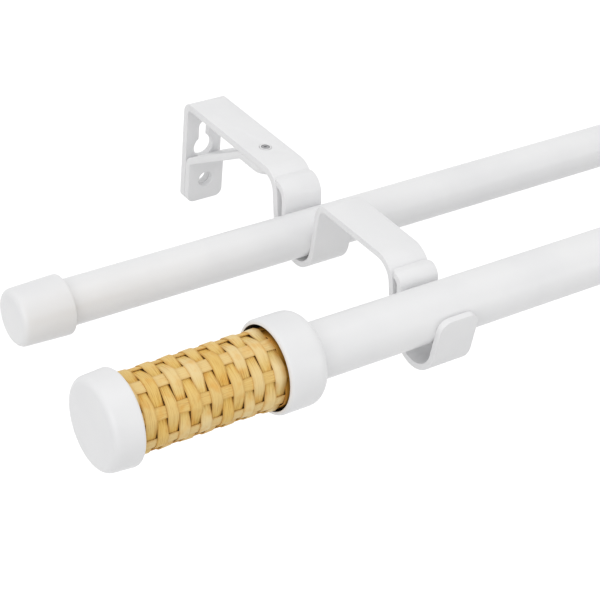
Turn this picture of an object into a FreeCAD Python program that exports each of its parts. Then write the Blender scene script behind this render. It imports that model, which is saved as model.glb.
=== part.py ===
import FreeCAD, Part
import math
import os
from FreeCAD import Vector

os.makedirs("parts", exist_ok=True)

# Double curtain pole: two steel tubes, one behind the other, lie in the open hooks of two bent-strip
# brackets. The front tube ends in woven finials and the rear one in plain caps. Millimetres.
# X runs along the tubes, -Y is into the room and +Z is up. The wall is the plane y = 0. The origin lies
# on the wall, midway between the lower screw holes of the two brackets.

# Layout along the tubes
bracket_spacing = 966.4
front_tube_overhang = 62.0
rear_tube_overhang = 116.8

# Tubes
front_tube_d = 19.0
rear_tube_d = 16.0
tube_wall = 0.9

# Bracket strips: width, and thickness of the main strip, the hooks and the brace
strip_w = 15.6
arm_t = 2.8
hook_t = 2.2
brace_t = 2.8
seam = 0.02

# How far a cutting shape reaches past the face it cuts
overcut = 1.0

# Wall plate and first arm
plate_drop = 8.9
arm_top_z = 33.3
plate_bend_r = 1.8
plate_corner_r = 3.0
arm_corner_x = 61.0
arm_bend_r = 6.0
arm_leg_lean = 11.0
arm_leg_end_z = 9.0

# Fixing holes of the wall plate
screw_hole_d = 6.0
keyhole_d = 8.4
keyhole_z = 13.2
slot_w = 4.6
slot_top_z = 24.1

# Brace under the first arm
brace_foot_z = 8.8
brace_arm_x = 38.0
brace_end_x = 53.6
brace_bend_r = 2.0
brace_end_r = 5.5

# Screw that holds the brace to the arm
brace_screw_x = 43.5
brace_screw_d = 3.0
brace_screw_head_d = 4.4
brace_screw_head_h = 0.9
brace_screw_tail = 1.2
screw_play = 0.1

# Rear hook and the second arm that continues it; a hook's gap is that from its arm's corner to its inside
rear_hook_gap = 8.95
rear_hook_z = 14.9
rear_hook_pinch = 0.15
rear_hook_flare = 4.6
rear_hook_top_z = 31.3
rear_hook_bend_r = 4.8
rear_hook_end_x = 60.6
arm2_top_z = 35.6
arm2_bend_r = 3.4
arm2_corner_x = 129.8
arm2_leg_bend_r = 7.6
arm2_leg_lean = 12.0
arm2_leg_end_z = 11.6

# Front hook with its outward-leaning lip
front_hook_gap = 8.71
front_hook_z = 14.9
front_hook_pinch = 1.11
front_hook_flare = 7.2
front_hook_top_z = 32.8
front_hook_bend_r = 2.3
front_hook_end_x = 130.6
lip_top_z = 28.2
lip_corner_r = 4.2
hook_corner_r = 2.4

# A hook's round bottom is narrower than its tube by the pinch, so the tube sinks between the flared walls
# until it binds, with this clearance, above the bottom
tube_seat = 0.02

# Flats round the outside of a turned piece, and steps of its eased edges
turned_flats = 48
easing_steps = 3

# Finial of the front tube
sleeve_r = 13.15
sleeve_wall = 1.4
sleeve_visible = 51.0
sleeve_insert = 3.4
cap_wall = 2.4
cap_len = 10.2
cap_taper = 0.7
cap_rim_r = 3.2
cap_recess = 2.5
collar_wall = 1.6
collar_len = 15.2
collar_back_r = 4.6
collar_recess = 6.0
collar_recess_gap = 0.9
slip_fit = 0.1
core_spigot_len = 26.0

# Weave of the sleeve: hoops round it and stakes along it, each over and under the other
hoop_count = 15
stake_count = 8
first_stake_angle = 17.2
stake_w = 4.0
weave_lift = 0.55
hoop_dip = 0.12
slit_w = 0.4
slit_len = 3.4

# End cap of the rear tube
rear_cap_len = 18.6
rear_cap_wall = 2.3
rear_cap_taper = 0.6
rear_cap_floor = 3.0
rear_cap_rim_r = 2.2


def point(room, z, x=0.0):
    """Point at a distance into the room, a height and a place along the tubes."""
    return Vector(x, -room, z)


def rad(degrees):
    return math.radians(degrees)


def bent_side(path, radii, offset):
    """Edges of one side of a bent strip: its centre line through path, moved to the left by offset."""
    def unit(a, b):
        length = math.hypot(b[0] - a[0], b[1] - a[1])
        return (b[0] - a[0]) / length, (b[1] - a[1]) / length

    def shifted(p, direction):
        return p[0] - direction[1] * offset, p[1] + direction[0] * offset

    edges = []
    here = shifted(path[0], unit(path[0], path[1]))
    for i in range(1, len(path) - 1):
        into, out = unit(path[i - 1], path[i]), unit(path[i], path[i + 1])
        turn = math.atan2(into[0] * out[1] - into[1] * out[0], into[0] * out[0] + into[1] * out[1])
        side = 1.0 if turn > 0 else -1.0
        back = radii[i - 1] * math.tan(abs(turn) / 2)
        start = (path[i][0] - into[0] * back, path[i][1] - into[1] * back)
        centre = (start[0] - into[1] * side * radii[i - 1], start[1] + into[0] * side * radii[i - 1])
        radius = radii[i - 1] - side * offset
        first = math.atan2(start[1] - centre[1], start[0] - centre[0])
        arc = [(centre[0] + radius * math.cos(first + turn * k / 2),
                centre[1] + radius * math.sin(first + turn * k / 2)) for k in range(3)]
        if math.hypot(arc[0][0] - here[0], arc[0][1] - here[1]) > 1e-6:
            edges.append(Part.LineSegment(point(*here), point(*arc[0])).toShape())
        edges.append(Part.Arc(*[point(*p) for p in arc]).toShape())
        here = arc[2]
    end = shifted(path[-1], unit(path[-2], path[-1]))
    edges.append(Part.LineSegment(point(*here), point(*end)).toShape())
    return edges


def bent_strip(path, radii, thickness):
    """Flat bar of the brackets' width, bent along path; radii are those of its centre line."""
    left = bent_side(path, radii, thickness / 2)
    right = bent_side(path, radii, -thickness / 2)
    ends = [Part.LineSegment(left[k].Vertexes[k].Point, right[k].Vertexes[k].Point).toShape()
            for k in (0, -1)]
    outline = Part.Wire(Part.__sortEdges__(left + right + ends))
    bar = Part.Face(outline).extrude(Vector(strip_w, 0, 0))
    bar.translate(Vector(-strip_w / 2, 0, 0))
    return bar


def round_corners(bar, end, radius):
    """Rounds the two corners of a bar's end, which lies at the path point end."""
    corners = [e for e in bar.Edges
               if abs(abs(e.CenterOfMass.x) - strip_w / 2) < 1e-4
               and (e.CenterOfMass - point(end[0], end[1], e.CenterOfMass.x)).Length < 1e-4]
    return bar.makeFillet(radius, corners)


def drilled(room_from, room_to, z, diameter):
    """Cylinder square to the wall, to cut a hole in a plate."""
    return Part.makeCylinder(diameter / 2, room_to - room_from, point(room_from, z), Vector(0, -1, 0))


def standing(z_from, z_to, room, diameter):
    """Upright cylinder over the bracket's middle."""
    return Part.makeCylinder(diameter / 2, z_to - z_from, point(room, z_from))


def hook_bottom(x, z, radius, flare):
    """Centre-line corners of a hook's round bottom, behind and in front, and where its walls lead."""
    half = radius * math.tan(rad(90 - flare) / 2)
    behind, before = (x - half, z - radius), (x + half, z - radius)

    def wall(corner, side, top):
        return corner[0] + side * (top - corner[1]) * math.tan(rad(flare)), top

    return behind, before, wall


def seat_height(hook_z, pinch, flare):
    """Height at which a tube binds between the flared walls of its hook."""
    return hook_z + (pinch + tube_seat) / math.sin(rad(flare))


rear_hook_x = arm_corner_x + rear_hook_gap + rear_tube_d / 2 - rear_hook_pinch
front_hook_x = arm2_corner_x + front_hook_gap + front_tube_d / 2 - front_hook_pinch
rear_tube_z = seat_height(rear_hook_z, rear_hook_pinch, rear_hook_flare)
front_tube_z = seat_height(front_hook_z, front_hook_pinch, front_hook_flare)


# Wall bracket: one strip with the wall plate, the first arm and a leg that turns down behind the rear tube

arm_z = arm_top_z - arm_t / 2
leg_run = (arm_z - arm_leg_end_z) * math.tan(rad(arm_leg_lean))
wall_path = [(arm_t / 2, -plate_drop), (arm_t / 2, arm_z), (arm_corner_x, arm_z),
             (arm_corner_x + leg_run, arm_leg_end_z)]
wall_bracket = bent_strip(wall_path, [plate_bend_r + arm_t / 2, arm_bend_r + arm_t / 2], arm_t)
wall_bracket = round_corners(wall_bracket, wall_path[0], plate_corner_r)
wall_bracket = round_corners(wall_bracket, wall_path[-1], hook_corner_r)
plate_through = (-overcut, arm_t + overcut)
slot_end_z = slot_top_z - slot_w / 2
slot = Part.makeBox(slot_w, plate_through[1] - plate_through[0], slot_end_z - keyhole_z,
                    Vector(-slot_w / 2, -plate_through[1], keyhole_z))
wall_bracket = wall_bracket.cut([drilled(*plate_through, 0.0, screw_hole_d),
                                 drilled(*plate_through, keyhole_z, keyhole_d),
                                 drilled(*plate_through, slot_end_z, slot_w), slot])

# Brace: a strip with a screw tab on the wall plate, a slope, and an end that lies flat under the arm

tab_x = arm_t + seam + brace_t / 2
under_arm_z = arm_top_z - arm_t - seam - brace_t / 2
brace_path = [(tab_x, -plate_drop), (tab_x, brace_foot_z), (brace_arm_x, under_arm_z),
              (brace_end_x, under_arm_z)]
brace_r = brace_bend_r + brace_t / 2
brace = bent_strip(brace_path, [brace_r, brace_r], brace_t)
brace = round_corners(brace, brace_path[0], plate_corner_r)
brace = round_corners(brace, brace_path[-1], brace_end_r)
brace = brace.cut(drilled(arm_t, arm_t + seam + brace_t + overcut, 0.0, screw_hole_d))

# Brace screw: its head lies flush in the top of the arm, and its shank goes through the brace

head_bottom = arm_top_z - brace_screw_head_h
screw_bottom = under_arm_z - brace_t / 2 - brace_screw_tail
brace_screw = standing(screw_bottom, head_bottom, brace_screw_x, brace_screw_d)
brace_screw = brace_screw.fuse(standing(head_bottom, arm_top_z, brace_screw_x, brace_screw_head_d))
shank_hole_d = brace_screw_d + 2 * screw_play
head_hole_d = brace_screw_head_d + 2 * screw_play
wall_bracket = wall_bracket.cut([
    standing(arm_top_z - arm_t - overcut, arm_top_z + overcut, brace_screw_x, shank_hole_d),
    standing(head_bottom - seam, arm_top_z + overcut, brace_screw_x, head_hole_d)])
brace = brace.cut(standing(under_arm_z - brace_t, under_arm_z + brace_t, brace_screw_x, shank_hole_d))

# Rear holder: a hook for the rear tube, which goes on as the second arm and its leg

arm2_z = arm2_top_z - hook_t / 2
rear_line_r = rear_tube_d / 2 - rear_hook_pinch + hook_t / 2
behind, before, wall_at = hook_bottom(rear_hook_x, rear_hook_z, rear_line_r, rear_hook_flare)
rear_hook_top = rear_hook_top_z - hook_t / 2
leg2_run = (arm2_z - arm2_leg_end_z) * math.tan(rad(arm2_leg_lean))
rear_path = [(rear_hook_end_x, rear_hook_top), wall_at(behind, -1, rear_hook_top), behind, before,
             wall_at(before, 1, arm2_z), (arm2_corner_x, arm2_z),
             (arm2_corner_x + leg2_run, arm2_leg_end_z)]
rear_holder = bent_strip(rear_path, [rear_hook_bend_r + hook_t / 2, rear_line_r, rear_line_r,
                                     arm2_bend_r + hook_t / 2, arm2_leg_bend_r + hook_t / 2], hook_t)
rear_holder = round_corners(rear_holder, rear_path[0], hook_corner_r)
rear_holder = round_corners(rear_holder, rear_path[-1], hook_corner_r)


def shoulder(corner_x, z, lean, bend_r, thickness):
    """Outside of the bend where an arm turns down into its leg, against which a hook's end is welded."""
    line_r = bend_r + thickness / 2
    centre_x = corner_x - line_r * math.tan(rad(90 - lean) / 2)
    return Part.makeCylinder(bend_r + thickness + seam, strip_w + 2 * overcut,
                             point(centre_x, z - line_r, -strip_w / 2 - overcut), Vector(1, 0, 0))


rear_holder = rear_holder.cut(shoulder(arm_corner_x, arm_z, arm_leg_lean, arm_bend_r, arm_t))

# Front holder: a wider hook for the front tube, with a lip that leans outwards

front_line_r = front_tube_d / 2 - front_hook_pinch + hook_t / 2
behind, before, wall_at = hook_bottom(front_hook_x, front_hook_z, front_line_r, front_hook_flare)
front_hook_top = front_hook_top_z - hook_t / 2
front_path = [(front_hook_end_x, front_hook_top), wall_at(behind, -1, front_hook_top), behind, before,
              wall_at(before, 1, lip_top_z)]
front_holder = bent_strip(front_path, [front_hook_bend_r + hook_t / 2, front_line_r, front_line_r],
                          hook_t)
front_holder = round_corners(front_holder, front_path[0], hook_corner_r)
front_holder = round_corners(front_holder, front_path[-1], lip_corner_r)
front_holder = front_holder.cut(shoulder(arm2_corner_x, arm2_z, arm2_leg_lean, arm2_leg_bend_r, hook_t))


# Tubes

def tube(length, diameter, room, z):
    start = point(room, z, -length / 2)
    outside = Part.makeCylinder(diameter / 2, length, start, Vector(1, 0, 0))
    return outside.cut(Part.makeCylinder(diameter / 2 - tube_wall, length, start, Vector(1, 0, 0)))


front_tube_len = bracket_spacing + 2 * front_tube_overhang
rear_tube_len = bracket_spacing + 2 * rear_tube_overhang
front_tube = tube(front_tube_len, front_tube_d, front_hook_x, front_tube_z)
rear_tube = tube(rear_tube_len, rear_tube_d, rear_hook_x, rear_tube_z)


# Turned pieces. Distances along the tube grow from its end outwards, so each piece is made at the right end
# and mirrored for the left one. Bores are true cylinders, and the outside has narrow flats, which keep an
# eased or tapered piece light.

def eased(before, corner, after, radius):
    """Points that round an outline's corner, each as (distance along the tube, radius)."""
    corner = Vector(*corner)
    into = (corner - Vector(*before)).normalize()
    out = (Vector(*after) - corner).normalize()
    turn = into.getAngle(out)
    centre = corner + (out - into).normalize() * (radius / math.cos(turn / 2))
    first = corner - into * (radius * math.tan(turn / 2)) - centre
    last = corner + out * (radius * math.tan(turn / 2)) - centre
    parts = [(math.sin(turn * (1 - k / easing_steps)), math.sin(turn * k / easing_steps))
             for k in range(easing_steps + 1)]
    points = [centre + (first * a + last * b) * (1 / math.sin(turn)) for a, b in parts]
    return [(point_on[0], point_on[1]) for point_on in points]


def ring(along, corners, room, z, x):
    """Closed polygon across the tube; corners holds (angle from the top towards the room, radius)."""
    start = point(room, z, x + along)
    points = [start + Vector(0, -radius * math.sin(rad(angle)), radius * math.cos(rad(angle)))
              for angle, radius in corners]
    return points + [points[0]]


def outside(outline, room, z, x):
    """Solid with flats round it; outline runs along the tube as (distance along, radius)."""
    rings = [ring(along, [(360.0 * k / turned_flats, radius) for k in range(turned_flats)], room, z, x)
             for along, radius in outline]
    faces = [Part.Face(Part.makePolygon(end)) for end in (rings[0], rings[-1])]
    for here, there in zip(rings, rings[1:]):
        faces += [Part.Face(Part.makePolygon([here[k], here[k + 1], there[k + 1], there[k], here[k]]))
                  for k in range(turned_flats)]
    return Part.makeSolid(Part.makeShell(faces))


def rod(along, until, radius, room, z, x):
    return Part.makeCylinder(radius, until - along, point(room, z, x + along), Vector(1, 0, 0))


# Rear end cap: a cup pushed over the tube, a little wider at its mouth

rear_end = (rear_hook_x, rear_tube_z, rear_tube_len / 2)
cap_back = rear_cap_floor - rear_cap_len
rear_bore_r = rear_tube_d / 2 + slip_fit
rear_cap_r = rear_bore_r + rear_cap_wall
mouth, middle = (cap_back, rear_cap_r), (rear_cap_floor, 0.0)
rim = (rear_cap_floor, rear_cap_r - rear_cap_taper)
rear_cap = outside([mouth] + eased(mouth, rim, middle, rear_cap_rim_r), *rear_end)
rear_cap = rear_cap.cut(rod(cap_back, slip_fit, rear_bore_r, *rear_end))

# Finial, from the tube outwards: collar, woven sleeve on a wooden core, and cap

front_end = (front_hook_x, front_tube_z, front_tube_len / 2)
collar_back = collar_recess - collar_len
mouth_bore_r = sleeve_r + collar_recess_gap
collar_r = mouth_bore_r + collar_wall
middle, rim, mouth = (collar_back, 0.0), (collar_back, collar_r), (collar_recess, collar_r)
collar = outside(eased(middle, rim, mouth, collar_back_r) + [mouth], *front_end)
collar = collar.cut([rod(collar_back, 0.0, front_tube_d / 2 + slip_fit, *front_end),
                     rod(0.0, collar_recess, mouth_bore_r, *front_end)])

sleeve_start = collar_recess - sleeve_insert
cap_mouth = collar_recess + sleeve_visible
cap_floor = cap_mouth + cap_recess
sleeve_end = cap_floor - slip_fit
sleeve_inner_r = sleeve_r - sleeve_wall
spigot_r = front_tube_d / 2 - tube_wall - slip_fit
core = rod(slip_fit, sleeve_end, sleeve_inner_r - slip_fit, *front_end)
core = core.fuse(rod(-core_spigot_len, slip_fit, spigot_r, *front_end))

cap_face = cap_mouth + cap_len
cap_r = sleeve_r + slip_fit + cap_wall
mouth, rim, middle = (cap_mouth, cap_r), (cap_face, cap_r - cap_taper), (cap_face, 0.0)
finial_cap = outside([mouth] + eased(mouth, rim, middle, cap_rim_r), *front_end)
finial_cap = finial_cap.cut(rod(cap_mouth, cap_floor, sleeve_r + slip_fit, *front_end))

# Woven sleeve: each row of the weave is a slice with one hoop, which swings out over a stake and in under
# the next one, and a stake stands proud wherever the hoop is under. Neighbouring rows are half a wave
# apart, and a slit goes through the wall where a stake dives under the next row's hoop.

wall_r = sleeve_r - weave_lift
hoop_pitch = (sleeve_end - sleeve_start) / hoop_count
stake_step = 360.0 / stake_count
stake_half = math.degrees(stake_w / sleeve_r) / 2


def sleeve_slice(corners, along, length):
    return Part.Face(Part.makePolygon(ring(along, corners, *front_end))).extrude(Vector(length, 0, 0))


def woven_row(row):
    corners = []
    for column in range(stake_count):
        angle = first_stake_angle + column * stake_step
        near, far = angle - stake_half, angle + stake_half
        if (row + column) % 2:
            corners += [(near, wall_r), (near, sleeve_r), (far, sleeve_r), (far, wall_r)]
        else:
            corners += [(near, sleeve_r - hoop_dip), (far, sleeve_r - hoop_dip)]
        corners.append((angle + stake_step / 2, (sleeve_r + wall_r) / 2))
    return sleeve_slice(corners, sleeve_start + row * hoop_pitch, hoop_pitch)


bore_corners = []
for column in range(stake_count):
    angle = first_stake_angle + column * stake_step
    bore_corners += [(angle + turn, sleeve_inner_r / math.cos(rad(stake_half)))
                     for turn in (-stake_half, stake_half, stake_step / 2)]
slits = []
for row in range(1, hoop_count):
    for column in range((row + 1) % 2, stake_count, 2):
        corner = point(front_hook_x + slit_len / 2, front_tube_z + sleeve_inner_r - overcut,
                       front_end[2] + sleeve_start + row * hoop_pitch - slit_w / 2)
        slit = Part.makeBox(slit_w, slit_len, sleeve_wall + 2 * overcut, corner)
        slit.rotate(point(*front_end[:2]), Vector(1, 0, 0), first_stake_angle + column * stake_step)
        slits.append(slit)
rows = [woven_row(row) for row in range(hoop_count)]
bore = sleeve_slice(bore_corners, sleeve_start - overcut, sleeve_end - sleeve_start + 2 * overcut)
woven_sleeve = rows[0].fuse(rows[1:]).cut([bore] + slits).removeSplitter()


# Placing: brackets at both stations, end pieces mirrored from right to left

def export(shape, name):
    if shape.ShapeType == "Compound" and len(shape.Solids) == 1:
        shape = shape.Solids[0]
    if not shape.isValid():
        raise ValueError(name + " is not a sound solid")
    shape.exportStep("parts/" + name + ".step")


for side, station in (("left", -bracket_spacing / 2), ("right", bracket_spacing / 2)):
    for name, shape in (("wall_bracket", wall_bracket), ("brace", brace), ("brace_screw", brace_screw),
                        ("rear_holder", rear_holder), ("front_holder", front_holder)):
        placed = shape.copy()
        placed.translate(Vector(station, 0, 0))
        export(placed, name + "_" + side)

for name, shape in (("rear_end_cap", rear_cap), ("finial_collar", collar), ("finial_core", core),
                    ("finial_cap", finial_cap), ("woven_sleeve", woven_sleeve)):
    export(shape, name + "_right")
    export(shape.mirror(Vector(0, 0, 0), Vector(1, 0, 0)), name + "_left")

export(front_tube, "front_tube")
export(rear_tube, "rear_tube")
print("tube heights", round(rear_tube_z, 2), round(front_tube_z, 2))
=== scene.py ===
import math
import random

import bmesh
import bpy
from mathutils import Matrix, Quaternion, Vector


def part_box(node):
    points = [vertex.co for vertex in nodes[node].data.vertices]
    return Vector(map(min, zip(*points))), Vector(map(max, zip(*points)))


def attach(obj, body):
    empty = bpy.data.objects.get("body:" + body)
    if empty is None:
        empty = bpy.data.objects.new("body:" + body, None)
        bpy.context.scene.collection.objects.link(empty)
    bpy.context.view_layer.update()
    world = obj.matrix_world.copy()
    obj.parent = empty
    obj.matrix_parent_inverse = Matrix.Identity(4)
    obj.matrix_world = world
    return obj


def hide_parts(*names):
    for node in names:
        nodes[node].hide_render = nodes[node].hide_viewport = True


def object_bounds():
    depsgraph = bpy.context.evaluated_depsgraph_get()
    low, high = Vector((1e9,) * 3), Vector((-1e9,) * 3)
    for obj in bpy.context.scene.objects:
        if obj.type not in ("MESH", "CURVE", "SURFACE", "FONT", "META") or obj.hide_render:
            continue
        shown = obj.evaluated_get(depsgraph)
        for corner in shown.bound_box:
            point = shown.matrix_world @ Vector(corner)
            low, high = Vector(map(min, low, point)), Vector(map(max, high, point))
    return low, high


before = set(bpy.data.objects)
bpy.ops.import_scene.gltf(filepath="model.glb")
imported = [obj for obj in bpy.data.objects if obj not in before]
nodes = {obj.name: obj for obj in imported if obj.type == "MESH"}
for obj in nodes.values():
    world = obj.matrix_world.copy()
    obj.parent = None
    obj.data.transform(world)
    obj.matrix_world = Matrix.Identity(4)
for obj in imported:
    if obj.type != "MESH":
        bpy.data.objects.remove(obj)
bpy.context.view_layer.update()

# Wall brackets: strips of flat steel, 2.8 mm thick at the wall and 2.2 mm in the hooks, bent,
# welded and powder-coated white. Their sheared edges are rubbed round before coating, and the coat
# is thin and slightly dimpled.
mm = 0.001
bracket_strips = ("wall_bracket", "brace", "rear_holder", "front_holder")
edge_round = 0.45 * mm
edge_steps = 3
sheared_angle = math.radians(35)
facet_angle = math.radians(0.4)
merge_reach = 0.002 * mm
coat_white = (0.87, 0.87, 0.875, 1)
coat_shade = (0.835, 0.836, 0.845, 1)
coat_cloud_scale = 45
coat_dimple_strength = 0.12
coat_dimple_depth = 0.05 * mm


def powder_coat(name, dimple_size, roughness):
    """White stoved powder: a satin skin with an orange-peel surface and a faint cloudiness."""
    coat = bpy.data.materials.new(name)
    coat.use_nodes = True
    tree = coat.node_tree
    surface = tree.nodes["Principled BSDF"]
    place = tree.nodes.new("ShaderNodeTexCoord")
    cloud = tree.nodes.new("ShaderNodeTexNoise")
    cloud.inputs["Scale"].default_value = coat_cloud_scale
    cloud.inputs["Detail"].default_value = 3
    tree.links.new(place.outputs["Object"], cloud.inputs["Vector"])
    tint = tree.nodes.new("ShaderNodeValToRGB")
    shaded, clean = tint.color_ramp.elements
    shaded.position, shaded.color = 0.3, coat_shade
    clean.position, clean.color = 0.6, coat_white
    tree.links.new(cloud.outputs["Fac"], tint.inputs["Fac"])
    tree.links.new(tint.outputs["Color"], surface.inputs["Base Color"])
    peel = tree.nodes.new("ShaderNodeTexNoise")
    peel.inputs["Scale"].default_value = 1 / dimple_size
    peel.inputs["Detail"].default_value = 2
    tree.links.new(place.outputs["Object"], peel.inputs["Vector"])
    dimples = tree.nodes.new("ShaderNodeBump")
    dimples.inputs["Strength"].default_value = coat_dimple_strength
    dimples.inputs["Distance"].default_value = coat_dimple_depth
    tree.links.new(peel.outputs["Fac"], dimples.inputs["Height"])
    tree.links.new(dimples.outputs["Normal"], surface.inputs["Normal"])
    surface.inputs["Roughness"].default_value = roughness
    surface.inputs["Coat Weight"].default_value = 0.15
    surface.inputs["Coat Roughness"].default_value = 0.2
    return coat


def rubbed(node, radius, material):
    """A copy of a strip of the frame with its edges rounded, which stands for the sharp one."""
    strip = bmesh.new()
    strip.from_mesh(nodes[node].data)
    bmesh.ops.remove_doubles(strip, verts=strip.verts, dist=merge_reach)
    bmesh.ops.dissolve_limit(strip, angle_limit=facet_angle, verts=strip.verts,
                             edges=strip.edges)
    mesh = bpy.data.meshes.new(node + "_coated")
    strip.to_mesh(mesh)
    strip.free()
    piece = bpy.data.objects.new(node + "_coated", mesh)
    bpy.context.scene.collection.objects.link(piece)
    piece.data.materials.append(material)
    piece.data.shade_smooth()
    rounding = piece.modifiers.new("rubbed edges", "BEVEL")
    rounding.width = radius
    rounding.segments = edge_steps
    rounding.limit_method = "ANGLE"
    rounding.angle_limit = sheared_angle
    rounding.harden_normals = True
    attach(piece, "root")
    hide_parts(node)


bracket_coat = powder_coat("bracket powder coat", dimple_size=1.1 * mm, roughness=0.42)
for side in ("left", "right"):
    for strip_name in bracket_strips:
        rubbed(strip_name + "_" + side, edge_round, bracket_coat)

# Brace screws: small socket-headed steel screws, sunk flush in the top of the arm. The head's rim
# is coated over with the arm, and its middle shows the dull zinc plating and a shadowed groove.
screw_head_r = 2.2 * mm
screw_head_h = 0.9 * mm
screw_shank_r = 1.5 * mm
screw_chamfer = 0.03 * mm
screw_tip_chamfer = 0.3 * mm
screw_steps = 48
screw_crease = math.radians(30)
bare_r = 1.62 * mm
bare_groove = 0.3 * mm
bare_rim_drop = 0.06 * mm
socket_r = 0.8 * mm
socket_depth = 0.32 * mm
socket_rim_drop = 0.02 * mm
socket_sides = 6
socket_reach = 0.01 * mm


def clouded(name, spot_scale, dark, light, roughness, grain=None):
    """A finish between two colours, in even spots or in a grain drawn out along X."""
    finish = bpy.data.materials.new(name)
    finish.use_nodes = True
    tree = finish.node_tree
    surface = tree.nodes["Principled BSDF"]
    surface.inputs["Roughness"].default_value = roughness
    place = tree.nodes.new("ShaderNodeTexCoord").outputs["Object"]
    if grain:
        stretch = tree.nodes.new("ShaderNodeMapping")
        stretch.inputs["Scale"].default_value = (grain, 1, 1)
        tree.links.new(place, stretch.inputs["Vector"])
        place = stretch.outputs["Vector"]
    cloud = tree.nodes.new("ShaderNodeTexNoise")
    cloud.inputs["Scale"].default_value = spot_scale
    shade = tree.nodes.new("ShaderNodeValToRGB")
    shade.color_ramp.elements[0].color = dark
    shade.color_ramp.elements[1].color = light
    tree.links.new(place, cloud.inputs["Vector"])
    tree.links.new(cloud.outputs["Fac"], shade.inputs["Fac"])
    tree.links.new(shade.outputs["Color"], surface.inputs["Base Color"])
    return finish


def middle(node):
    """The middle of a CAD piece's box."""
    low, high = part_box(node)
    return (low + high) / 2


screw_zinc = clouded("zinc-plated screw", spot_scale=1400, dark=(0.30, 0.30, 0.31, 1),
                     light=(0.58, 0.58, 0.59, 1), roughness=0.42)
screw_zinc.node_tree.nodes["Principled BSDF"].inputs["Metallic"].default_value = 1
for side in ("left", "right"):
    low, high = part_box("brace_screw_" + side)
    centre = middle("brace_screw_" + side)
    top = high.z
    outline = [(0, top - socket_depth), (socket_r, top - socket_depth),
               (socket_r, top - socket_rim_drop), (bare_r - bare_groove, top - bare_rim_drop),
               (bare_r - bare_groove / 2, top - bare_groove), (bare_r, top - bare_groove),
               (bare_r, top), (screw_head_r - screw_chamfer, top),
               (screw_head_r, top - screw_chamfer), (screw_head_r, top - screw_head_h),
               (screw_shank_r, top - screw_head_h), (screw_shank_r, low.z + screw_tip_chamfer),
               (screw_shank_r - screw_tip_chamfer, low.z), (0, low.z)]
    screw_mesh = bmesh.new()
    corners = [screw_mesh.verts.new((centre.x + radius, centre.y, z)) for radius, z in outline]
    for first, second in zip(corners, corners[1:]):
        screw_mesh.edges.new((first, second))
    bmesh.ops.spin(screw_mesh, geom=screw_mesh.verts[:] + screw_mesh.edges[:], cent=centre,
                   axis=(0, 0, 1), angle=math.tau, steps=screw_steps, use_merge=True,
                   use_duplicate=False)
    bmesh.ops.remove_doubles(screw_mesh, verts=screw_mesh.verts, dist=merge_reach)
    half_side = math.tau / socket_sides / 2
    for v in screw_mesh.verts:
        arm = Vector((v.co.x - centre.x, v.co.y - centre.y))
        if abs(arm.length - socket_r) < socket_reach:
            turn = math.atan2(arm.y, arm.x) % (math.tau / socket_sides) - half_side
            arm *= math.cos(half_side) / math.cos(turn)
            v.co.x, v.co.y = centre.x + arm.x, centre.y + arm.y
    bmesh.ops.recalc_face_normals(screw_mesh, faces=screw_mesh.faces)
    mesh = bpy.data.meshes.new("brace_screw_%s_plated" % side)
    screw_mesh.to_mesh(mesh)
    screw_mesh.free()
    mesh.materials.append(screw_zinc)
    mesh.materials.append(bracket_coat)
    for face in mesh.polygons:
        rim = Vector((face.center.x - centre.x, face.center.y - centre.y)).length
        if rim > bare_r and face.center.z > top - bare_groove:
            face.material_index = 1
    mesh.shade_smooth()
    mesh.set_sharp_from_angle(angle=screw_crease)
    screw = bpy.data.objects.new(mesh.name, mesh)
    bpy.context.scene.collection.objects.link(screw)
    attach(screw, "root")
    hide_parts("brace_screw_" + side)

# Rods: plain round steel tube, thin-walled and powder-coated white, smoother than the brackets.
# They are cut square and lie loose in the hooks.
tube_wall = 0.9 * mm
tube_edge = 0.2 * mm
round_steps = 128
rounding_steps = 6
turned_crease = math.radians(40)
rod_coat = powder_coat("rod powder coat", dimple_size=1.6 * mm, roughness=0.34)


def turned(name, outline, axis, material):
    """A round piece: outline holds (x, radius, rounding) round its section, spun along X."""
    piece_mesh = bmesh.new()
    corners = [piece_mesh.verts.new((x, axis.y, axis.z + radius)) for x, radius, _ in outline]
    for first, second in zip(corners, corners[1:] + corners[:1]):
        piece_mesh.edges.new((first, second))
    for corner, (_, _, rounding) in zip(corners, outline):
        if rounding:
            bmesh.ops.bevel(piece_mesh, geom=[corner], offset=rounding, offset_type="OFFSET",
                            segments=rounding_steps, profile=0.5, affect="VERTICES",
                            material=-1, clamp_overlap=False)
    bmesh.ops.spin(piece_mesh, geom=piece_mesh.verts[:] + piece_mesh.edges[:], cent=axis,
                   axis=(1, 0, 0), angle=math.tau, steps=round_steps, use_merge=True,
                   use_duplicate=False)
    bmesh.ops.remove_doubles(piece_mesh, verts=piece_mesh.verts, dist=merge_reach)
    bmesh.ops.recalc_face_normals(piece_mesh, faces=piece_mesh.faces)
    mesh = bpy.data.meshes.new(name)
    piece_mesh.to_mesh(mesh)
    piece_mesh.free()
    mesh.materials.append(material)
    mesh.shade_smooth()
    mesh.set_sharp_from_angle(angle=turned_crease)
    piece = bpy.data.objects.new(name, mesh)
    bpy.context.scene.collection.objects.link(piece)
    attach(piece, "root")
    return piece


for rod in ("front_tube", "rear_tube"):
    low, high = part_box(rod)
    rod_r = (high.z - low.z) / 2
    tube = turned(rod + "_coated",
                  [(low.x, rod_r, tube_edge), (high.x, rod_r, tube_edge),
                   (high.x, rod_r - tube_wall, 0), (low.x, rod_r - tube_wall, 0)],
                  middle(rod), rod_coat)
    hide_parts(rod)

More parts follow.
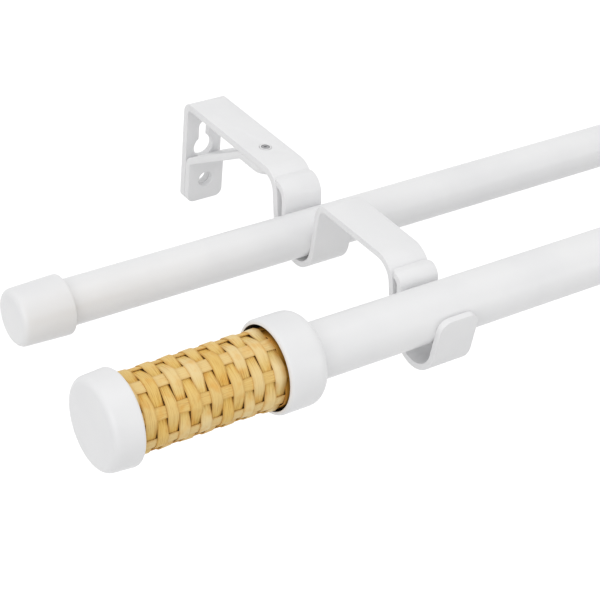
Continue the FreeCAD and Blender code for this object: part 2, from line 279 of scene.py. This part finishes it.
# Rear end caps: pressed steel cups pushed over the rod's ends, a little wider at the mouth than at
# the face. They are coated like the rods.
rear_cap_taper = 0.6 * mm
rear_cap_rim = 2.2 * mm
rear_cap_mouth = 0.7 * mm
rear_cap_floor = 2.9 * mm
push_fit = 0.1 * mm
bore_edge = 0.2 * mm
cap_coat = powder_coat("end cap powder coat", dimple_size=1.4 * mm, roughness=0.36)
rear_rod_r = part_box("rear_tube")[1].z - middle("rear_tube").z
for side, outwards in (("left", -1), ("right", 1)):
    low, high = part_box("rear_end_cap_" + side)
    face, mouth = (low.x, high.x) if outwards < 0 else (high.x, low.x)
    cap_r = (high.z - low.z) / 2
    bore_r = rear_rod_r + push_fit
    floor = face - outwards * rear_cap_floor
    cap = turned("rear_end_cap_%s_coated" % side,
                 [(face, 0, 0), (face, cap_r - rear_cap_taper, rear_cap_rim),
                  (mouth, cap_r, rear_cap_mouth), (mouth, bore_r, bore_edge),
                  (floor, bore_r, 0), (floor, 0, 0)],
                 middle("rear_end_cap_" + side), cap_coat)
    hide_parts("rear_end_cap_" + side)

# Finial collars: turned cups that cap the front rod's ends and take the woven sleeve in a wide
# mouth. Their backs are well rounded, and they are coated like the rods, but the inside of the
# mouth is painted near-black as shade.
collar_back_round = 4.6 * mm
collar_mouth_round = 1.3 * mm
collar_bore_round = 0.3 * mm
collar_lip_round = 0.35 * mm
collar_recess = 6.0 * mm
collar_lip = 1.6 * mm
painted_shade_reach = 0.05 * mm
# Painted shade: a near-black finish for the inside of the collar's mouth, where the recess lies in
# shadow.
collar_mouth_painted_shade = clouded("collar mouth painted shade", spot_scale=300, dark=(0.02, 0.018, 0.017, 1),
                      light=(0.06, 0.052, 0.045, 1), roughness=0.6)
front_rod_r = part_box("front_tube")[1].z - middle("front_tube").z
for side, outwards in (("left", -1), ("right", 1)):
    low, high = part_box("finial_collar_" + side)
    mouth, back = (low.x, high.x) if outwards < 0 else (high.x, low.x)
    collar_r = (high.z - low.z) / 2
    bore_r = front_rod_r + push_fit
    recess = mouth - outwards * collar_recess
    collar = turned("finial_collar_%s_coated" % side,
                    [(mouth, collar_r, collar_mouth_round), (back, collar_r, collar_back_round),
                     (back, bore_r, collar_bore_round), (recess, bore_r, 0),
                     (recess, collar_r - collar_lip, 0),
                     (mouth, collar_r - collar_lip, collar_lip_round)],
                    middle("finial_collar_" + side), cap_coat)
    collar.data.materials.append(collar_mouth_painted_shade)
    # Faces inside the mouth's recess take the painted shade.
    for face in collar.data.polygons:
        rim = Vector((face.center.y, face.center.z)) - Vector(middle("front_tube").yz)
        inside = rim.length < collar_r - collar_lip + painted_shade_reach
        if inside and abs(face.center.x - mouth) < collar_recess:
            face.material_index = 1
    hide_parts("finial_collar_" + side)

# Finial cores: turned wooden plugs, stained dark brown, which carry the sleeve and the cap.
# Only glimpses of them show, between the strips and in the collar's mouth.
dark_stain = clouded("dark stained wood", spot_scale=900, dark=(0.16, 0.075, 0.022, 1),
                     light=(0.32, 0.17, 0.055, 1), roughness=0.6, grain=0.08)
stained_wood = dark_stain.node_tree.nodes["Principled BSDF"]
stained_wood.inputs["Specular IOR Level"].default_value = 0.2
for side in ("left", "right"):
    core = nodes["finial_core_" + side]
    core.data.materials.clear()
    core.data.materials.append(dark_stain)

# Woven sleeves: flat bamboo strips split to about 0.3 mm, hoops round the core and stakes along it,
# each over one and under one, cut a little unevenly by hand. The weave sags a little where it goes
# into the collar, where its strips are painted darker as shade. Their edges are browner, with
# painted shade where a strip dips under, and a painted highlight where it rides highest.
hoop_count = 15
stake_count = 8
first_stake_angle = math.radians(17.2)
strip_thick = 0.32 * mm
strip_crown = 0.02 * mm
strip_steps = 160
strip_cuts_across = 5
strip_merge = 0.004 * mm
end_facing = 0.9
no_length = 1e-9
strip_crease = math.radians(40)
hoop_width = 3.75 * mm
hoop_narrowest, hoop_widest = -0.22, 0.12
hoop_swing = 0.48 * mm
hoop_proud = 0.08 * mm
hoop_stray = 0.08
hoop_wander = 0.3 * mm
hoop_tilt = 0.09
hoop_spread_on_top = 0.05
span_sag = 0.26 * mm
span_ease = 0.1
stake_width = 4.0 * mm
stake_uneven = 0.2
stake_swing = 0.1 * mm
stake_hold = 0.17
stake_wander = 0.15 * mm
dip_steepness = 2.2
dip_start = 0.45
uneven_breadth = 0.05
uneven_waves = 3
slow_turns, quick_turns, tilt_turns = (1, 2, 3), (2, 3, 5), (1, 3, 4)
collar_sag = 0.45 * mm
sag_bias = 0.5
sag_rows = 3
# Painted shade: the strips darken over this length from the collar's mouth, where they lie in its
# shadow.
mouth_shade_length = 2.4 * mm
edge_start, edge_band = 0.8, 0.2
# Edges are browner, and darker again as painted shade where the strip dips under a crossing strip.
edge_brown, dip_shade = 0.35, 0.3
# Painted highlight: strips are paler where they ride highest, by an amount that differs from strip
# to strip.
crest_pale, crest_pale_most = 0.3, 1.5
fibre_spread = 400
fibre_slant = 0.37
bamboo_brown = (0.58, 0.32, 0.07, 1)
bamboo_golden = (0.80, 0.54, 0.15, 1)
bamboo_straw = (0.88, 0.66, 0.25, 1)
crest_colour = (0.90, 0.72, 0.40, 1)
aged_tint = (0.95, 0.85, 0.62, 1)
tanned_tint = (0.96, 0.8, 0.58, 1)
# Brown for the strips' edges, also laid on as painted shade at the dips and by the collar's mouth.
browning_and_shade_tint = (0.62, 0.42, 0.17, 1)
random.seed(11)


def bamboo_strips(name):
    """Split bamboo: fibres and a tone of its own for each strip, browner edges, painted shade and
    highlight.
    """
    bamboo = bpy.data.materials.new(name)
    bamboo.use_nodes = True
    tree = bamboo.node_tree
    surface = tree.nodes["Principled BSDF"]
    lie = tree.nodes.new("ShaderNodeUVMap")
    lie.uv_map = "along the strip"
    stretch = tree.nodes.new("ShaderNodeMapping")
    stretch.inputs["Scale"].default_value = (0.05, 1, 1)
    tree.links.new(lie.outputs["UV"], stretch.inputs["Vector"])
    fibre = tree.nodes.new("ShaderNodeTexNoise")
    fibre.inputs["Scale"].default_value = 3.4
    fibre.inputs["Detail"].default_value = 5
    fibre.inputs["Roughness"].default_value = 0.6
    tree.links.new(stretch.outputs["Vector"], fibre.inputs["Vector"])
    tone = tree.nodes.new("ShaderNodeValToRGB")
    brown, straw = tone.color_ramp.elements
    brown.position, brown.color = 0.35, bamboo_brown
    straw.position, straw.color = 0.60, bamboo_straw
    tone.color_ramp.elements.new(0.45).color = bamboo_golden
    tree.links.new(fibre.outputs["Fac"], tone.inputs["Fac"])
    stain = tree.nodes.new("ShaderNodeTexNoise")
    stain.inputs["Scale"].default_value = 0.22
    tree.links.new(lie.outputs["UV"], stain.inputs["Vector"])
    stain_depth = tree.nodes.new("ShaderNodeMapRange")
    stain_depth.inputs["From Min"].default_value = 0.52
    stain_depth.inputs["From Max"].default_value = 0.72
    tree.links.new(stain.outputs["Fac"], stain_depth.inputs["Value"])

    def tinted(colour, tint, amount):
        mix = tree.nodes.new("ShaderNodeMix")
        mix.data_type = "RGBA"
        mix.blend_type = "MULTIPLY"
        mix.inputs["B"].default_value = tint
        tree.links.new(amount, mix.inputs["Factor"])
        tree.links.new(colour, mix.inputs["A"])
        return mix.outputs["Result"]

    def strip_value(attribute):
        value = tree.nodes.new("ShaderNodeAttribute")
        value.attribute_name = attribute
        return value.outputs["Fac"]

    # Painted highlight: paler towards the crest colour where the strip rides highest.
    paler = tree.nodes.new("ShaderNodeMix")
    paler.data_type = "RGBA"
    paler.inputs["B"].default_value = crest_colour
    tree.links.new(strip_value("painted crest highlight"), paler.inputs["Factor"])
    tree.links.new(tone.outputs["Color"], paler.inputs["A"])
    aged = tinted(paler.outputs["Result"], aged_tint, strip_value("own tone"))
    tanned = tinted(aged, tanned_tint, stain_depth.outputs["Result"])
    # Browner edges, with painted shade at the dips and near the collar's mouth.
    browned_and_shaded = tinted(tanned, browning_and_shade_tint, strip_value("edge browning and painted shade"))
    tree.links.new(browned_and_shaded, surface.inputs["Base Color"])
    ridges = tree.nodes.new("ShaderNodeBump")
    ridges.inputs["Strength"].default_value = 0.25
    ridges.inputs["Distance"].default_value = 0.06 * mm
    tree.links.new(fibre.outputs["Fac"], ridges.inputs["Height"])
    tree.links.new(ridges.outputs["Normal"], surface.inputs["Normal"])
    surface.inputs["Roughness"].default_value = 0.55
    surface.inputs["Specular IOR Level"].default_value = 0.2
    return bamboo


def edges_along(verts, axis):
    """The edges at these points that run along x (axis 0) or y (axis 1)."""
    edges = {e for v in verts for e in v.link_edges}
    return [e for e in edges if abs(e.verts[0].co[axis] - e.verts[1].co[axis]) > no_length]


def flat_strip(weave, length, width, closed):
    """A strip laid flat and straight in the weave's mesh: x along, y across, z its thickness."""
    made = bmesh.ops.create_cube(weave, size=1)["verts"]
    bmesh.ops.scale(weave, vec=(length, width, strip_thick), verts=made)
    bmesh.ops.translate(weave, vec=(length / 2, 0, 0), verts=made)
    if closed:
        faces = {f for v in made for f in v.link_faces}
        ends = [f for f in faces if abs(f.normal.x) > end_facing]
        bmesh.ops.delete(weave, geom=ends, context="FACES_ONLY")
    bmesh.ops.subdivide_edges(weave, edges=edges_along(made, 0), cuts=strip_steps - 1,
                              use_grid_fill=False)
    strip = [v for v in weave.verts if not v.tag]
    bmesh.ops.subdivide_edges(weave, edges=edges_along(strip, 1), cuts=strip_cuts_across,
                              use_grid_fill=True)
    return [v for v in weave.verts if not v.tag]


def passing(over):
    """How high a stake rides: level for most of its way, steeply down where it passes under."""
    deepest = math.tanh(dip_steepness * (1 + dip_start))
    return max(-1.0, math.tanh(dip_steepness * (over + dip_start)) / deepest)


def spanning(over):
    """How high a hoop rides, and how near it is to the middle of a span between two stakes."""
    way = math.acos(max(-1.0, min(1.0, over))) / math.pi
    span = (way - stake_hold) / (1 - 2 * stake_hold)
    if 0 < span < 1:
        slope = math.cos(math.pi * ((1 - 2 * span_ease) * span + span_ease))
        return slope / math.cos(math.pi * span_ease), 4 * span * (1 - span)
    return (1, 0) if span <= 0 else (-1, 0)


def hand_cut(turns):
    """A slow, small unevenness that closes on itself after one turn, from -1 to 1."""
    waves = [(random.choice(turns), random.uniform(0, math.tau)) for _ in range(uneven_waves)]
    return lambda around: sum(math.sin(count * around + phase)
                              for count, phase in waves) / uneven_waves


def woven_sleeve(side, outwards):
    """All the strips of one sleeve in one mesh: the hoops from the collar outwards, then stakes."""
    low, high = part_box("woven_sleeve_" + side)
    axis = middle("front_tube")
    collar_low, collar_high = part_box("finial_collar_" + side)
    inner, mouth = (high.x, collar_low.x) if outwards < 0 else (low.x, collar_high.x)
    lay_r = (high.z - low.z) / 2 - strip_thick / 2 - hoop_swing - strip_crown + hoop_proud
    pitch = (high.x - low.x) / hoop_count
    stake_pitch = math.tau / stake_count
    weave = bmesh.new()
    lie = weave.loops.layers.uv.new("along the strip")
    own_tone = weave.verts.layers.float.new("own tone")
    # Browner edges, plus painted shade at the dips and by the collar's mouth.
    browning_and_shade = weave.verts.layers.float.new("edge browning and painted shade")
    # Painted highlight: paler where the strip rides highest.
    crest_highlight = weave.verts.layers.float.new("painted crest highlight")

    def start_strip(strip, shift):
        shade = random.random()
        members = set(strip)
        for v in strip:
            v[own_tone] = shade
        for face in {f for v in strip for f in v.link_faces if members.issuperset(f.verts)}:
            for loop in face.loops:
                along, across = loop.vert.co.x / mm, loop.vert.co.y / mm
                loop[lie].uv = (along + shift, across + shift * fibre_slant)

    def lay(v, width, ride, x, radius, angle):
        # Browner edges, plus painted shade where the strip dips and near the collar's mouth.
        edge = max(0.0, abs(v.co.y) / (width / 2) - edge_start) / edge_band
        mouth_shaded = 1 - max(0.0, outwards * (x - mouth)) / mouth_shade_length
        v[browning_and_shade] = max(edge * (edge_brown + dip_shade * (1 - ride)), mouth_shaded)
        # Painted highlight on the crests, where the strip rides high.
        v[crest_highlight] = crest_pale * (1 + ride) * (crest_pale_most - v[own_tone])
        v.co = (x, axis.y - radius * math.sin(angle), axis.z + radius * math.cos(angle))
        v.tag = True

    for row in range(hoop_count):
        width = hoop_width + random.uniform(hoop_narrowest, hoop_widest) * mm
        strip = flat_strip(weave, math.tau * lay_r, width, True)
        start_strip(strip, random.uniform(0, fibre_spread))
        stray = random.uniform(-hoop_stray, hoop_stray) * mm
        place = inner + outwards * (row + 0.5) * pitch + stray
        sag = collar_sag * max(0.0, 1 - row / sag_rows)
        wander, breadth = hand_cut(slow_turns), hand_cut(quick_turns)
        tilt = hand_cut(tilt_turns)
        for v in strip:
            turn = v.co.x / lay_r
            angle = math.pi + first_stake_angle + stake_pitch / 2 + turn
            past_stake = angle - first_stake_angle - row % 2 * stake_pitch
            ride, between = spanning(math.cos(past_stake * stake_count / 2))
            across = v.co.y * (1 + uneven_breadth * breadth(turn) + hoop_spread_on_top * ride)
            crown = strip_crown * (1 - (2 * v.co.y / width) ** 2)
            lift = v.co.z + crown + hoop_tilt * across * tilt(turn)
            radius = (lay_r + hoop_swing * ride - span_sag * between + lift
                      - sag * (math.cos(angle) - sag_bias))
            x = place + across + hoop_wander * wander(turn)
            lay(v, width, ride, x, radius, angle)
    for column in range(stake_count):
        width = stake_width + random.uniform(-stake_uneven, stake_uneven) * mm
        strip = flat_strip(weave, high.x - low.x, width, False)
        start_strip(strip, random.uniform(0, fibre_spread))
        bearing = first_stake_angle + column * stake_pitch
        wander, breadth = hand_cut(slow_turns), hand_cut(quick_turns)
        for v in strip:
            along = math.tau * v.co.x / (high.x - low.x)
            rows_in = v.co.x / pitch
            ride = passing(-math.cos((rows_in - 0.5 - column % 2) * math.pi))
            lift = v.co.z + strip_crown * (1 - (2 * v.co.y / width) ** 2)
            sag = collar_sag * max(0.0, 1 - rows_in / sag_rows)
            radius = (lay_r + stake_swing * ride + lift
                      - sag * (math.cos(bearing) - sag_bias))
            across = v.co.y * (1 + uneven_breadth * breadth(along)) + stake_wander * wander(along)
            lay(v, width, ride, inner + outwards * v.co.x, radius, bearing + across / lay_r)
    bmesh.ops.remove_doubles(weave, verts=weave.verts, dist=strip_merge)
    bmesh.ops.recalc_face_normals(weave, faces=weave.faces)
    mesh = bpy.data.meshes.new("woven_sleeve_%s_strips" % side)
    weave.to_mesh(mesh)
    weave.free()
    mesh.materials.append(bamboo)
    mesh.shade_smooth()
    mesh.set_sharp_from_angle(angle=strip_crease)
    sleeve = bpy.data.objects.new(mesh.name, mesh)
    bpy.context.scene.collection.objects.link(sleeve)
    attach(sleeve, "root")
    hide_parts("woven_sleeve_" + side)


bamboo = bamboo_strips("split bamboo")
woven_sleeve("left", -1)
woven_sleeve("right", 1)

# Finial caps: turned cups that close the sleeve's outer end, flat-faced with a rounded rim.
# They are coated like the rods.
cap_taper = 0.7 * mm
cap_rim = 2.2 * mm
cap_mouth_round = 1.2 * mm
cap_recess = 2.5 * mm
for side, outwards in (("left", -1), ("right", 1)):
    low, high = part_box("finial_cap_" + side)
    face, mouth = (low.x, high.x) if outwards < 0 else (high.x, low.x)
    cap_r = (high.z - low.z) / 2
    sleeve_low, sleeve_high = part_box("woven_sleeve_" + side)
    bore_r = (sleeve_high.z - sleeve_low.z) / 2 + push_fit
    recess = mouth + outwards * cap_recess
    cap = turned("finial_cap_%s_coated" % side,
                 [(face, 0, 0), (face, cap_r - cap_taper, cap_rim),
                  (mouth, cap_r, cap_mouth_round), (mouth, bore_r, bore_edge),
                  (recess, bore_r, 0), (recess, 0, 0)],
                 middle("finial_cap_" + side), cap_coat)
    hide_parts("finial_cap_" + side)

# Studio: a wide pale floor well below the pole, soft light from above and from both sides, and a
# white surround. The floor and the surround show as white, and the floor keeps the pole's shadow.
floor_drop = 0.3
floor_reach = 12
floor_grey = (0.6, 0.6, 0.6, 1)
floor_glow = 0.6
surround_light = 0.79
surround_seen = 1.0
floor_mesh = bmesh.new()
bmesh.ops.create_grid(floor_mesh, x_segments=1, y_segments=1, size=floor_reach)
bmesh.ops.translate(floor_mesh, vec=(0, 0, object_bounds()[0].z - floor_drop),
                    verts=floor_mesh.verts)
floor_data = bpy.data.meshes.new("studio floor")
floor_mesh.to_mesh(floor_data)
floor_mesh.free()
studio_floor = bpy.data.objects.new("studio_floor", floor_data)
bpy.context.scene.collection.objects.link(studio_floor)


def seen_directly(tree):
    """1 for rays from the camera and through gloss or glass, 0 for light that falls on things."""
    path = tree.nodes.new("ShaderNodeLightPath")
    seen = tree.nodes.new("ShaderNodeMath")
    seen.operation = "MAXIMUM"
    tree.links.new(path.outputs["Is Camera Ray"], seen.inputs[0])
    tree.links.new(path.outputs["Is Glossy Ray"], seen.inputs[1])
    either = tree.nodes.new("ShaderNodeMath")
    either.operation = "MAXIMUM"
    tree.links.new(seen.outputs[0], either.inputs[0])
    tree.links.new(path.outputs["Is Transmission Ray"], either.inputs[1])
    return either.outputs[0]


floor_paint = bpy.data.materials.new("studio floor paint")
floor_paint.use_nodes = True
paint_tree = floor_paint.node_tree
paint = paint_tree.nodes["Principled BSDF"]
paint.inputs["Base Color"].default_value = floor_grey
paint.inputs["Roughness"].default_value = 0.9
paint.inputs["Specular IOR Level"].default_value = 0
paint.inputs["Emission Color"].default_value = (1, 1, 1, 1)
glow = paint_tree.nodes.new("ShaderNodeMath")
glow.operation = "MULTIPLY"
glow.inputs[1].default_value = floor_glow
paint_tree.links.new(seen_directly(paint_tree), glow.inputs[0])
paint_tree.links.new(glow.outputs[0], paint.inputs["Emission Strength"])
floor_data.materials.append(floor_paint)

surround = bpy.data.worlds.new("white surround")
surround.use_nodes = True
surround_tree = surround.node_tree
backdrop = surround_tree.nodes["Background"]
backdrop.inputs["Color"].default_value = (1, 1, 1, 1)
surround_strength = surround_tree.nodes.new("ShaderNodeMapRange")
surround_strength.inputs["To Min"].default_value = surround_light
surround_strength.inputs["To Max"].default_value = surround_seen
surround_tree.links.new(seen_directly(surround_tree), surround_strength.inputs["Value"])
surround_tree.links.new(surround_strength.outputs["Result"], backdrop.inputs["Strength"])
bpy.context.scene.world = surround

# Softboxes: each has a name, a place and a width in metres, and a power in watts. They all face a
# point beside the bracket at the pole's left end.
lit_point = Vector((-0.4, -0.1, 0))
softboxes = (("overhead softbox", (-0.5, -0.2, 1.8), 1.4, 3.2),
             ("left softbox", (-2.0, -1.0, 0.7), 1.4, 7),
             ("right softbox", (1.1, -1.9, 0.5), 0.8, 3))
for name, place, width, power in softboxes:
    lamp = bpy.data.lights.new(name, "AREA")
    lamp.shape = "SQUARE"
    lamp.size = width
    lamp.energy = power
    holder = bpy.data.objects.new(name, lamp)
    holder.location = place
    holder.rotation_mode = "QUATERNION"
    holder.rotation_quaternion = (Vector(place) - lit_point).to_track_quat("Z", "Y")
    bpy.context.scene.collection.objects.link(holder)

# Camera: a long lens at the photograph's angle, a little above the pole and off its left end.
# Its place, aim and roll were fitted to the pole's outlines.
camera_place = Vector((-0.82776, -0.52472, 0.36235))
camera_azimuth = math.radians(-37.312)
camera_elevation = math.radians(33.671)
camera_roll = math.radians(5.342)
camera_data = bpy.data.cameras.new("photo camera")
camera_data.sensor_width = 36
camera_data.lens = 111.68
camera_data.clip_start = 0.01
camera_data.clip_end = 50
camera = bpy.data.objects.new("photo camera", camera_data)
towards_camera = Vector((math.sin(camera_azimuth) * math.cos(camera_elevation),
                         -math.cos(camera_azimuth) * math.cos(camera_elevation),
                         math.sin(camera_elevation)))
camera.location = camera_place
camera.rotation_mode = "QUATERNION"
camera.rotation_quaternion = (towards_camera.to_track_quat("Z", "Y")
                              @ Quaternion((0, 0, 1), camera_roll))
bpy.context.scene.collection.objects.link(camera)
bpy.context.scene.camera = camera

bpy.context.scene.view_settings.view_transform = "Standard"
